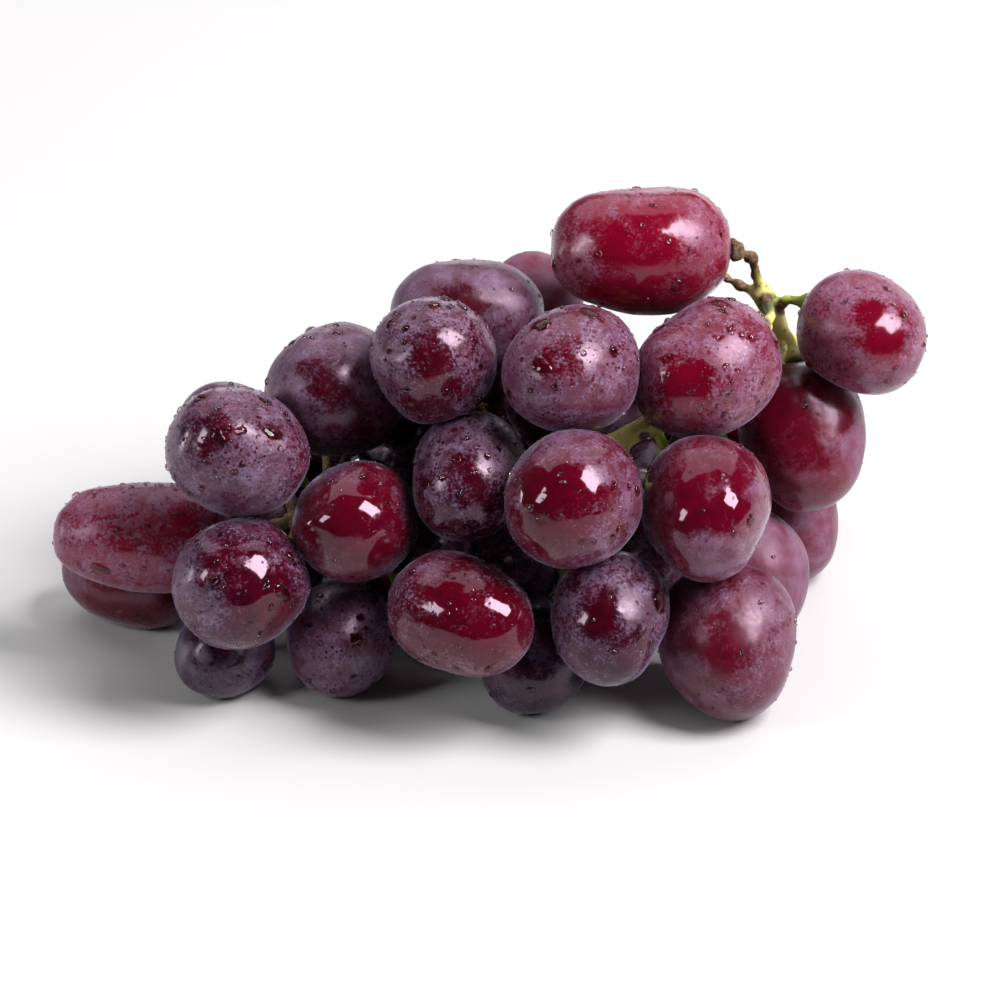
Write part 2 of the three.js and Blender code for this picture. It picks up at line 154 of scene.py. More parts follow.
@dataclass(frozen=True)
class GrapeLook:
    """What sets one grape apart from the rest.

    Attributes:
        slot: The record's slot for its skin.
        tone: How red the skin is, from 0 (nearly black) to 1 (crimson).
        wax: How much wax is left on it, from 0 to 1.
        dew: How many drops it carries, as a share of the usual number.
        patches: Spots with more or less wax.
        lobes: Spots where it swells out of its even shape or falls back from it.
        shine: How glossy it is, from 0 (satin) to 1.
    """

    slot: Slot
    tone: float
    wax: float
    dew: float = 0.4
    patches: tuple[Spot, ...] = ()
    lobes: tuple[Spot, ...] = ()
    shine: float = 0.8


LOOKS = {
    1: GrapeLook(
        Slot.RED, 1.0, 0.36, 0.8,
        (Spot(0.0, 0.1, 0.6, -0.3), Spot(0.75, 0.25, 0.35, 0.45), Spot(0.1, -0.8, 0.5, -0.4),
         Spot(-0.85, -0.2, 0.35, 0.3), Spot(-0.2, 0.85, 0.4, 0.2)),
        (Spot(-0.85, 0.5, 0.4, 0.8), Spot(-0.85, -0.45, 0.4, 0.5), Spot(0.8, 0.5, 0.4, 0.4))),
    2: GrapeLook(
        Slot.RED, 0.75, 0.6, 0.8,
        (Spot(0.1, 0.35, 0.28, -0.6), Spot(0.35, -0.15, 0.3, -0.6), Spot(0, 0.85, 0.5, 0.3)),
        (Spot(0.2, 0.9, 0.7, -0.5), Spot(0.95, 0.0, 0.5, -0.5))),
    3: GrapeLook(
        Slot.RED, 0.72, 0.72, 2.2,
        (Spot(-0.3, -0.2, 0.42, -0.7), Spot(0.1, 0.7, 0.25, -0.5), Spot(0.4, 0.1, 0.3, 0.3)),
        (Spot(-0.45, 0.85, 0.5, -0.9), Spot(0.6, -0.7, 0.4, 0.3))),
    4: GrapeLook(
        Slot.WINE, 0.68, 0.8, 2.2,
        (Spot(-0.1, 0.25, 0.4, -0.5), Spot(0.1, 0.9, 0.3, -0.4), Spot(-0.8, 0.1, 0.4, 0.3)),
        (Spot(0.0, 0.95, 0.4, 0.4), Spot(-0.6, -0.7, 0.4, -0.4))),
    5: GrapeLook(
        Slot.WINE, 0.4, 0.46, 0.3,
        (Spot(-0.1, 0.2, 0.4, -0.3), Spot(-0.7, 0.3, 0.5, 0.3), Spot(0.6, 0.4, 0.3, 0.3)),
        (Spot(0.85, 0.2, 0.4, 0.6),), 0.4),
    6: GrapeLook(Slot.RED, 0.75, 0.8, 0.2, shine=0.3),
    7: GrapeLook(
        Slot.WINE, 0.42, 0.6, 2.4,
        (Spot(0.0, 0.05, 0.35, -0.3), Spot(-0.7, 0.4, 0.6, 0.4), Spot(0.1, -0.7, 0.6, -0.4)),
        (Spot(-0.8, -0.5, 0.5, -0.9), Spot(0.7, 0.5, 0.35, 0.5))),
    8: GrapeLook(
        Slot.WINE, 0.38, 0.6, 0.6,
        (Spot(-0.1, 0.3, 0.4, -0.3), Spot(-0.7, 0.5, 0.4, 0.3), Spot(0.1, -0.6, 0.6, -0.3)),
        (Spot(0.1, 0.9, 0.4, -0.4), Spot(0.62, -0.75, 0.35, 1.1)), 0.45),
    9: GrapeLook(
        Slot.DARK, 0.3, 0.7, 2.6,
        (Spot(-0.35, 0.2, 0.35, -0.45), Spot(0.2, -0.3, 0.6, 0.1), Spot(0.9, -0.2, 0.4, -0.3)),
        (Spot(-0.35, 0.75, 0.28, 0.6), Spot(-0.8, 0.3, 0.3, -0.4), Spot(0.15, 0.7, 0.22, -0.5),
         Spot(0.85, -0.1, 0.5, 0.8))),
    10: GrapeLook(
        Slot.DARK, 1.0, 0.7, 1.4,
        (Spot(0.0, 0.8, 0.6, 0.3), Spot(0.0, -0.3, 0.5, -0.3), Spot(0.6, 0.2, 0.3, -0.5)),
        (Spot(-0.85, 0.55, 0.35, 0.9), Spot(-0.3, 0.55, 0.3, -0.3), Spot(-0.7, -0.75, 0.3, -0.3))),
    11: GrapeLook(Slot.DARK, 0.5, 0.25, 0.2, (), (Spot(-0.6, -0.6, 0.4, 0.6),), 0.3),
    12: GrapeLook(
        Slot.DARK, 0.27, 0.46, 1.4,
        (Spot(0.0, 0.35, 0.4, -0.3), Spot(-0.85, 0.2, 0.4, 0.4), Spot(0.45, -0.5, 0.7, -0.6),
         Spot(-0.35, -0.35, 0.25, 0.4), Spot(0.1, 0.85, 0.3, 0.3)),
        (Spot(-0.7, 0.6, 0.35, -0.3), Spot(-0.55, 0.05, 0.3, 0.5), Spot(0.2, -0.9, 0.3, 0.3)), 1),
    13: GrapeLook(
        Slot.WINE, 0.64, 0.34, 0.6,
        (Spot(0.1, 0.0, 0.7, -0.45), Spot(-0.95, 0.2, 0.3, 0.6), Spot(0.95, -0.3, 0.3, 0.5)),
        (Spot(-0.55, 0.1, 0.3, 0.35), Spot(0.1, 0.93, 0.3, 0.7)), 1),
    14: GrapeLook(
        Slot.WINE, 0.35, 0.68, 1.8,
        (Spot(-0.1, 0.1, 0.4, -0.4), Spot(0.5, 0.4, 0.4, 0.35), Spot(0, -0.8, 0.7, -0.4)),
        (Spot(0.75, 0.5, 0.4, -0.7),)),
    15: GrapeLook(
        Slot.WINE, 0.68, 0.34, 0.8,
        (Spot(-0.25, 0.0, 0.55, -0.4), Spot(0.88, 0.0, 0.4, 0.6), Spot(0.0, 0.95, 0.4, 0.45),
         Spot(0.45, 0.42, 0.25, 0.4), Spot(0.4, -0.6, 0.35, 0.3)),
        (Spot(0.6, -0.7, 0.4, 0.6), Spot(-0.7, -0.55, 0.4, 0.5), Spot(-0.75, 0.6, 0.35, -0.4)), 1),
    16: GrapeLook(
        Slot.RED, 0.5, 0.3, 0.5,
        (Spot(0.0, 0.25, 0.6, -0.35), Spot(0.85, 0.1, 0.35, 0.55), Spot(0.15, -0.6, 0.5, 0.35),
         Spot(0.05, 0.35, 0.2, 0.3)),
        (Spot(0.75, -0.5, 0.45, -1.3), Spot(-0.75, -0.6, 0.4, -0.9)), 1),
    17: GrapeLook(
        Slot.RED, 0.58, 0.34, 0.2,
        (Spot(-0.4, 0.3, 0.6, -0.3), Spot(0.8, -0.2, 0.4, 0.4), Spot(0.6, 0.2, 0.25, -0.4)),
        shine=0.25),
    18: GrapeLook(Slot.RED, 0.62, 0.45, 0.1, shine=0.2),
    19: GrapeLook(Slot.RED, 0.5, 0.7, 0.1, shine=0.3),
    20: GrapeLook(
        Slot.RED, 0.45, 0.42, 0.5,
        (Spot(0.0, -0.2, 0.4, -0.25), Spot(0.6, 0.55, 0.35, 0.3), Spot(-0.6, 0.3, 0.4, 0.1)),
        (Spot(-0.7, -0.65, 0.45, -0.9), Spot(0.6, 0.6, 0.4, 0.3)), 0.2),
    21: GrapeLook(
        Slot.WINE, 0.26, 0.56, 0.9,
        (Spot(-0.3, 0.1, 0.4, -0.5), Spot(0.1, -0.6, 0.6, -0.45), Spot(0.5, 0.2, 0.4, 0.2)),
        (Spot(0.8, -0.6, 0.4, -0.5),)),
    22: GrapeLook(
        Slot.WINE, 0.68, 0.28, 1.6,
        (Spot(0.0, 0.0, 0.8, -0.3), Spot(-0.4, 0.8, 0.3, 0.4), Spot(-0.7, -0.2, 0.3, 0.2)),
        (Spot(0.3, -0.9, 0.5, 0.4), Spot(-0.7, 0.6, 0.4, -0.4)), 1),
    23: GrapeLook(Slot.WINE, 0.4, 0.95, 1.2),
    24: GrapeLook(Slot.DARK, 0.05, 0.4, 0.3, shine=0.4),
    # Grape 25's near-black tone is partly painted shade, for its place under the overhanging grapes 21 and
    # 22.
    25: GrapeLook(Slot.DARK, 0.08, 0.3, 0.3, shine=0.4),
    26: GrapeLook(Slot.WINE, 0.1, 0.3, 0.2, (), (Spot(-0.95, -0.28, 0.35, 1.8),), 0.5),
}
GRAPES = 42
HIDDEN_SLOTS = {
    Slot.DARK: (27, 28, 29, 30, 31, 34, 40, 41),
    Slot.WINE: (32, 35, 36, 38, 39),
    Slot.RED: (33, 37, 42),
}
HIDDEN_TONES = {Slot.DARK: (0.25, 0.5), Slot.WINE: (0.4, 0.65), Slot.RED: (0.65, 0.9)}
# Grapes 27 and 33 show through gaps in the bunch; their near-black tone and thin wax are painted shade.
GAP_SHADED_GRAPES = (27, 33)
GAP_SHADE_LOOK = {"tone": 0.1, "wax": 0.3, "dew": 0.2, "shine": 0.5}
HIDDEN_PATCHES = 4


def look_of(number: int) -> GrapeLook:
    """The look of a grape: its own, or for one that the front hides, a seeded one of its slot.

    Args:
        number: The grape's number, from 1.

    Returns:
        The look.
    """
    if number in LOOKS:
        return LOOKS[number]
    draw = random.Random(number)
    slot = next(slot for slot, numbers in HIDDEN_SLOTS.items() if number in numbers)
    # Grapes in the gaps get the painted-shade look instead of a seeded one.
    if number in GAP_SHADED_GRAPES:
        return GrapeLook(slot, **GAP_SHADE_LOOK)
    tone = draw.uniform(*HIDDEN_TONES[slot])
    wax = draw.uniform(0.4, 0.9)
    patches = tuple(
        Spot(draw.uniform(-0.8, 0.8), draw.uniform(-0.8, 0.8), draw.uniform(0.3, 0.6),
              draw.uniform(-0.7, 0.2))
        for _ in range(HIDDEN_PATCHES)
    )
    return GrapeLook(slot, tone, wax, draw.uniform(0.3, 1.0), patches)


@dataclass(frozen=True)
class Signal:
    """A socket that carries a number, which Python's operators do maths on.

    Attributes:
        graph: The material's graph that the socket is in.
        socket: The output socket.
    """

    graph: "Graph"
    socket: Socket

    def _maths(self, operation: str, *values: "Signal | float") -> "Signal":
        """Adds a Math node on some values and gives its result."""
        node = self.graph.node("ShaderNodeMath", {"operation": operation}, dict(enumerate(values)))
        return Signal(self.graph, node.outputs[0])

    def __add__(self, other: "Signal | float") -> "Signal":
        """self + other."""
        return self._maths("ADD", self, other)

    __radd__ = __add__

    def __mul__(self, other: "Signal | float") -> "Signal":
        """self * other."""
        return self._maths("MULTIPLY", self, other)

    __rmul__ = __mul__

    def __sub__(self, other: "Signal | float") -> "Signal":
        """self - other."""
        return self._maths("SUBTRACT", self, other)

    def __rsub__(self, other: "Signal | float") -> "Signal":
        """other - self."""
        return self._maths("SUBTRACT", other, self)

    def most(self, other: "Signal | float") -> "Signal":
        """The larger of the two."""
        return self._maths("MAXIMUM", self, other)

    def least(self, other: "Signal | float") -> "Signal":
        """The smaller of the two."""
        return self._maths("MINIMUM", self, other)

    def ramp(self, low: float, high: float) -> "Signal":
        """Runs softly from 0 where self is low to 1 where it is high.

        Args:
            low: The value that gives 0. It may be the larger of the two.
            high: The value that gives 1.

        Returns:
            The share, between 0 and 1.
        """
        swapped = low > high
        first, last = (high, low) if swapped else (low, high)
        node = self.graph.node(
            "ShaderNodeMapRange", {"interpolation_type": "SMOOTHSTEP", "clamp": True},
            {"Value": self, "From Min": first, "From Max": last})
        share = Signal(self.graph, node.outputs["Result"])
        return 1 - share if swapped else share


class Graph:
    """The nodes of one material, built by a few short methods."""

    def __init__(self, name: str) -> None:
        """Starts an empty material.

        Args:
            name: The material's name.
        """
        self.material = bpy.data.materials.new(name)
        self.material.use_nodes = True
        self.tree = self.material.node_tree
        self.tree.nodes.clear()

    def node(self, kind: str, settings: dict | None = None, inputs: dict | None = None) -> bpy.types.Node:
        """Adds a node.

        Args:
            kind: The node's type.
            settings: Its settings by name, set first.
            inputs: Values, colours, sockets or signals by the socket's name or number.

        Returns:
            The node.
        """
        node = self.tree.nodes.new(kind)
        for name, value in (settings or {}).items():
            setattr(node, name, value)
        for name, value in (inputs or {}).items():
            target = node.inputs[name]
            if isinstance(value, Signal):
                self.tree.links.new(value.socket, target)
            elif isinstance(value, Socket):
                self.tree.links.new(value, target)
            elif isinstance(value, tuple) and len(value) == 3 and target.type == "RGBA":
                target.default_value = (*value, 1)
            else:
                target.default_value = value
        return node

    def place(self) -> Socket:
        """The point on the bunch, in metres."""
        return self.node("ShaderNodeTexCoord").outputs["Object"]

    def paint(self, name: str) -> Signal:
        """A number painted on the mesh, by its attribute's name."""
        return Signal(self, self.node("ShaderNodeAttribute", {"attribute_name": name}).outputs["Fac"])

    def marked(self, name: str) -> Socket:
        """A vector stored on the mesh, by its attribute's name."""
        return self.node("ShaderNodeAttribute", {"attribute_name": name}).outputs["Vector"]

    def stretched(self, where: Socket, scale: tuple[float, float, float]) -> Socket:
        """Coordinates scaled along each axis."""
        inputs = {"Vector": where, "Scale": scale}
        return self.node("ShaderNodeMapping", {"vector_type": "POINT"}, inputs).outputs["Vector"]

    def clouds(self, where: Socket, grain: float, detail: float = 3,
               rough: float = 0.5, twist: float = 0) -> Signal:
        """Noise from 0 to 1.

        Args:
            where: The coordinates, in metres.
            grain: The size of its blotches, in metres.
            detail: How many finer layers it has.
            rough: How strong the finer layers are.
            twist: How much it is distorted.

        Returns:
            The noise.
        """
        node = self.node("ShaderNodeTexNoise", {}, {
            "Vector": where, "Scale": 1 / grain, "Detail": detail, "Roughness": rough, "Distortion": twist})
        return Signal(self, node.outputs["Fac"])

    def cells(self, where: Socket, grain: float) -> tuple[Signal, Signal]:
        """Scattered dots.

        Args:
            where: The coordinates, in metres.
            grain: The usual distance between dots, in metres.

        Returns:
            The distance to the nearest dot, as a share of the grain, and a random number for that dot.
        """
        node = self.node("ShaderNodeTexVoronoi", {}, {"Vector": where, "Scale": 1 / grain})
        split = self.node("ShaderNodeSeparateColor", {}, {"Color": node.outputs["Color"]})
        return Signal(self, node.outputs["Distance"]), Signal(self, split.outputs[0])

    def mix(self, share: Signal, first: Colour | Socket, last: Colour | Socket) -> Socket:
        """Mixes two colours.

        Args:
            share: 0 gives the first colour and 1 the last.
            first: A colour or a socket.
            last: A colour or a socket.

        Returns:
            The colour's socket.
        """
        node = self.node("ShaderNodeMix", {"data_type": "RGBA"}, {0: share, 6: first, 7: last})
        return node.outputs[2]

    def bump(self, height: Signal) -> Socket:
        """Turns a height in millimetres into a normal."""
        inputs = {"Height": height, "Distance": MM, "Strength": 1.0}
        return self.node("ShaderNodeBump", {}, inputs).outputs["Normal"]

    def surface(self, **inputs: object) -> bpy.types.Material:
        """Ends the material with a Principled shader.

        Args:
            inputs: Its sockets, with _ in place of each space in a name.

        Returns:
            The finished material.
        """
        named = {name.replace("_", " "): value for name, value in inputs.items()}
        shader = self.node("ShaderNodeBsdfPrincipled", {}, named)
        self.node("ShaderNodeOutputMaterial", {}, {"Surface": shader.outputs[0]})
        return self.material


@dataclass(frozen=True)
class Skin:
    """The finish of a grape's skin: deep glossy colour under pale wax.

    Attributes:
        slot: The record's slot that it is for.
        deep: Its colour where the tone is 0.
        bright: Its colour where the tone is 1.
        haze: The colour of the wax.
        flesh: How much light passes into the flesh.
        haze_share: How much the thickest wax covers.
        cover: The amounts of wax at which the skin is bare and covered.
        gloss: The roughness of the bare skin.
        swell: Height of the soft unevenness in its shine, in millimetres.
        grain: Height of the fine one in its wax.
        scar: The colour of the blossom scar.
    """

    slot: Slot
    deep: Colour
    bright: Colour
    haze: Colour
    flesh: float
    haze_share: float = 0.55
    cover: tuple[float, float] = (0.15, 0.8)
    gloss: float = 0.07
    swell: float = 0.22
    grain: float = 0.035
    scar: Colour = (0.10, 0.055, 0.03)

    def material(self) -> bpy.types.Material:
        """Builds the skin's nodes.

        Returns:
            The material.
        """
        graph = Graph(self.slot.value)
        own = graph.marked("own")
        tone = graph.paint("tone")
        wax_paint = graph.paint("wax")
        scar = graph.paint("scar")
        shine = graph.paint("shine")
        dusty = graph.paint("dusty")

        broad = graph.clouds(own, 7 * MM, detail=4, rough=0.62, twist=0.6)
        lengthwise = graph.stretched(own, (1, 1, 0.22))
        streaks = graph.clouds(lengthwise, 1.6 * MM, detail=3, rough=0.6)
        soft = graph.clouds(own, 6 * MM, detail=2, twist=0.4)
        curls = graph.clouds(own, 4.2 * MM, detail=4, rough=0.66, twist=0.8)
        smoke = soft + (curls - soft) * (0.25 + 0.75 * dusty)
        fine = graph.clouds(own, 2.2 * MM, detail=4, rough=0.72, twist=0.3)
        grit = graph.clouds(own, 0.6 * MM, detail=2, rough=0.6)
        ragged = (streaks - 0.5) * 0.5 + (fine - 0.5) + (grit - 0.5) * 1.2
        rub = wax_paint + (broad - 0.5) * 1.6 + ragged * (0.3 + 0.7 * dusty)
        left = rub.ramp(*self.cover)

        tiny_apart, tiny_chance = graph.cells(own, 0.62 * MM)
        flecks = tiny_apart.ramp(0.42, 0.2) * tiny_chance.ramp(0.55, 0.9)
        pits = tiny_apart.ramp(0.42, 0.25) * tiny_chance.ramp(0.3, 0.1) * dusty
        apart, chance = graph.cells(own, 1.0 * MM)
        pricks = (apart + chance * 0.3).ramp(0.42, 0.3) * smoke.ramp(0.42, 0.5)
        far_apart, far_chance = graph.cells(own, 2.3 * MM)
        spots = (far_apart + far_chance * 0.3).ramp(0.4, 0.28) * broad.ramp(0.42, 0.56)
        wet = pricks.most(spots) * dusty
        dust = 0.56 + (0.5 * grit.ramp(0.4, 0.66) + 0.9 * flecks - 0.26) * dusty
        thick = 0.08 + smoke.ramp(0.3, 0.68) * dust * (1 - pits * 0.8)
        wax = (left * thick * (1 - wet * 0.9)).least(1)

        mottle = graph.clouds(own, 3.4 * MM, detail=3, rough=0.6)
        ripe = (tone + (mottle - 0.5) * 0.55 + (streaks - 0.5) * 0.25).least(1).most(0)
        skin = graph.mix(ripe, self.deep, self.bright)
        hazed = graph.mix(wax * self.haze_share, skin, self.haze)
        scarred = graph.mix(scar, hazed, self.scar)

        dull = left * (0.55 + 0.45 * smoke) * (1 - wet * 0.75)
        rough = self.gloss + 0.32 * dull + 0.26 * (1 - shine) + 0.3 * scar + 0.05 * (fine - 0.5)
        pores = fine * wax_paint.ramp(*self.cover)
        relief = graph.bump(soft * self.swell + pores * self.grain)
        return graph.surface(
            Base_Color=scarred, Roughness=rough, Normal=relief, IOR=1.45, Specular_IOR_Level=0.62,
            Specular_Tint=(1, 0.78, 0.95, 1), Subsurface_Weight=self.flesh, Subsurface_Scale=2.5 * MM,
            Subsurface_Radius=(1.0, 0.25, 0.2), Sheen_Weight=0.3, Sheen_Roughness=0.3,
            Sheen_Tint=(0.7, 0.6, 0.9, 1))


@dataclass(frozen=True)
class Bark:
    """The finish of the stem: lime shoots that turn yellow, then brown wood, with painted shade: near black
    deep inside the bunch, brown in its gaps.

    Attributes:
        shade_green: A near-black colour, painted shade for the shoots deep inside the bunch.
        lime: The colour of a fresh one.
        yellow: The colour of an older one, made paler in part as painted light for stalks in the shade of
            the grapes.
        brown: The dark colour of the wood, and of the specks on all of it, also used as painted shade on
            stalks in the gaps between grapes.
        tan: The light colour of the wood.
        relief: Height of its grain, in millimetres.
    """

    shade_green: Colour = (0.05, 0.07, 0.012)
    lime: Colour = (0.4, 0.5, 0.07)
    yellow: Colour = (0.68, 0.62, 0.19)
    brown: Colour = (0.075, 0.042, 0.02)
    tan: Colour = (0.36, 0.2, 0.09)
    relief: float = 0.12

    def material(self) -> bpy.types.Material:
        """Builds the bark's nodes.

        Returns:
            The material.
        """
        graph = Graph(Slot.STEM.value)
        place = graph.place()
        wood_and_shade = graph.paint("wood_and_shade")
        ripe = graph.paint("yellow")
        young = graph.paint("lime")
        broad = graph.clouds(place, 4 * MM, detail=4, rough=0.6)
        fine = graph.clouds(place, 0.7 * MM, detail=5, rough=0.65)
        apart, chance = graph.cells(place, 1.3 * MM)
        specks = apart.ramp(0.36, 0.2) * chance.ramp(0.6, 0.65)
        # Outside the lime share the shoots get a near-black colour that is painted shade for the inside of
        # the bunch.
        shoot = graph.mix((young + (broad - 0.5) * 0.4).ramp(0.1, 0.55), self.shade_green, self.lime)
        # The yellow share is partly painted light that brightens the inner stem in the shade between
        # grapes.
        fresh = graph.mix((ripe + (broad - 0.5) * 0.5).ramp(0.15, 0.75), shoot, self.yellow)
        wood = graph.mix((broad * 0.6 + fine * 0.5).ramp(0.5, 0.72), self.brown, self.tan)
        # The wood's brown is also painted shade here, on the stalks seen in the gaps between grapes.
        aged_and_shaded = (wood_and_shade + (broad - 0.5) * 0.9 + (fine - 0.5) * 0.5).ramp(0.22, 0.85)
        colour = graph.mix(aged_and_shaded, fresh, wood)
        speckled = graph.mix(specks * 0.7, colour, self.brown)
        normal = graph.bump((fine * (0.4 + wood_and_shade) + specks * 0.4) * self.relief)
        return graph.surface(
            Base_Color=speckled, Roughness=0.5 + 0.25 * wood_and_shade, Normal=normal, Subsurface_Weight=0.15,
            Subsurface_Scale=1.5 * MM, Subsurface_Radius=(0.8, 1.0, 0.3))


@dataclass(frozen=True)
class Water:
    """The finish of a drop of water: clear, with a breath of the skin's pink."""

    tint: Colour = (0.78, 0.6, 0.66)

    def material(self) -> bpy.types.Material:
        """Builds the water's nodes.

        Returns:
            The material.
        """
        return Graph(Slot.WATER.value).surface(
            Base_Color=self.tint, Roughness=0.0, IOR=1.36, Specular_IOR_Level=1.0,
            Transmission_Weight=1.0)


SKINS = (
    Skin(Slot.DARK, (0.004, 0.0004, 0.004), (0.16, 0.0008, 0.014), (0.31, 0.24, 0.40), 0.15),
    Skin(Slot.WINE, (0.006, 0.0004, 0.004), (0.11, 0.0003, 0.008), (0.35, 0.26, 0.43), 0.18),
    Skin(Slot.RED, (0.014, 0.0004, 0.005), (0.16, 0.0005, 0.012), (0.39, 0.27, 0.43), 0.2),
)


PAIR_ANGLE = 0.7
PAIR_SHAPE = 1.2


def merged_copy(node: str, reach: float) -> Shape:
    """Copies a plain solid with its shared corners merged and its triangles joined in pairs.

    Args:
        node: The solid's name.
        reach: How near two corners are that become one, in metres.

    Returns:
        The copy.
    """
    shape = bmesh.new()
    shape.from_mesh(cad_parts[node].data)
    bmesh.ops.remove_doubles(shape, verts=shape.verts, dist=reach)
    bmesh.ops.dissolve_degenerate(shape, edges=shape.edges, dist=reach)
    bmesh.ops.join_triangles(
        shape, faces=shape.faces, angle_face_threshold=PAIR_ANGLE, angle_shape_threshold=PAIR_SHAPE)
    return shape


def even_out(shape: Shape, rounds: int) -> None:
    """Smooths a shape by moving each corner halfway to the middle of its neighbours.

    Args:
        shape: The shape.
        rounds: How often.
    """
    for _ in range(rounds):
        bmesh.ops.smooth_vert(
            shape, verts=shape.verts, factor=0.5, use_axis_x=True, use_axis_y=True, use_axis_z=True)


def add_object(name: str, data: bpy.types.ID) -> Thing:
    """Adds an object to the scene, at the origin.

    Args:
        name: Its name.
        data: Its mesh, light or camera.

    Returns:
        The object.
    """
    thing = bpy.data.objects.new(name, data)
    bpy.context.scene.collection.objects.link(thing)
    return thing


def mesh_object(shape: Shape, name: str) -> Thing:
    """Makes an object in the scene out of a bmesh, which it frees.

    Args:
        shape: The bmesh.
        name: The object's name.

    Returns:
        The object, at the origin.
    """
    mesh = bpy.data.meshes.new(name)
    shape.to_mesh(mesh)
    shape.free()
    return add_object(name, mesh)


def modified_mesh(piece: Thing) -> Mesh:
    """A new mesh with the object's modifiers applied."""
    graph = bpy.context.evaluated_depsgraph_get()
    return bpy.data.meshes.new_from_object(piece.evaluated_get(graph))


def corners(mesh: Mesh) -> np.ndarray:
    """Reads a mesh's vertices.

    Args:
        mesh: The mesh.

    Returns:
        The vertices, one a row, in metres.
    """
    flat = np.empty(len(mesh.vertices) * 3)
    mesh.vertices.foreach_get("co", flat)
    return flat.reshape(-1, 3)


def move_corners(mesh: Mesh, points: np.ndarray) -> None:
    """Puts the mesh's vertices at the given points."""
    mesh.vertices.foreach_set("co", points.ravel())
    mesh.update()


def normals(mesh: Mesh) -> np.ndarray:
    """Reads a mesh's normals at its vertices.

    Args:
        mesh: The mesh.

    Returns:
        The normals, one a row.
    """
    flat = np.empty(len(mesh.vertices) * 3)
    mesh.vertex_normals.foreach_get("vector", flat)
    return flat.reshape(-1, 3)


def paint(mesh: Mesh, name: str, values: np.ndarray) -> None:
    """Stores numbers or vectors on the mesh's vertices.

    Args:
        mesh: The mesh.
        name: The attribute's name.
        values: One number, or one row of three, for each vertex.
    """
    if values.ndim == 1:
        mesh.attributes.new(name, "FLOAT", "POINT").data.foreach_set("value", values.astype(np.float32))
    else:
        layer = mesh.attributes.new(name, "FLOAT_VECTOR", "POINT")
        layer.data.foreach_set("vector", values.astype(np.float32).ravel())


def tree_of(mesh: Mesh) -> BVHTree:
    """Makes a search tree of a mesh's faces.

    Args:
        mesh: The mesh.

    Returns:
        The tree.
    """
    shape = bmesh.new()
    shape.from_mesh(mesh)
    tree = BVHTree.FromBMesh(shape)
    shape.free()
    return tree


def remove(piece: Thing) -> None:
    """Takes an object and its mesh out of the scene.

    Args:
        piece: The object.
    """
    mesh = piece.data
    bpy.data.objects.remove(piece)
    bpy.data.meshes.remove(mesh)


def soft_noise(points: np.ndarray, grain: float) -> np.ndarray:
    """Noise from about -1 to 1 at each point.

    Args:
        points: The points, in metres, one a row.
        grain: The size of its blotches, in metres.

    Returns:
        One number for each point.
    """
    return np.array([noise.noise(Vector(point)) for point in points / grain]) * 2


def distances(points: np.ndarray, spot: Vector | np.ndarray | tuple[float, ...]) -> np.ndarray:
    """How far each point lies from a spot."""
    return np.linalg.norm(points - np.array(spot), axis=1)


def bell(distance: np.ndarray, middle: float, width: float) -> np.ndarray:
    """A smooth hump over distance, 1 high at middle and width wide to each side."""
    return np.exp(-(((distance - middle) / width) ** 2))


def finish_piece(piece: Thing, material: bpy.types.Material) -> None:
    """Shades a piece smoothly and gives it its material and its body.

    Args:
        piece: The piece.
        material: Its material.
    """
    piece.data.polygons.foreach_set("use_smooth", [True] * len(piece.data.polygons))
    piece.data.materials.clear()
    piece.data.materials.append(material)
    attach(piece, BODY)


def triangles_of(mesh: Mesh) -> int:
    """How many triangles the mesh has."""
    return sum(len(face.vertices) - 2 for face in mesh.polygons)


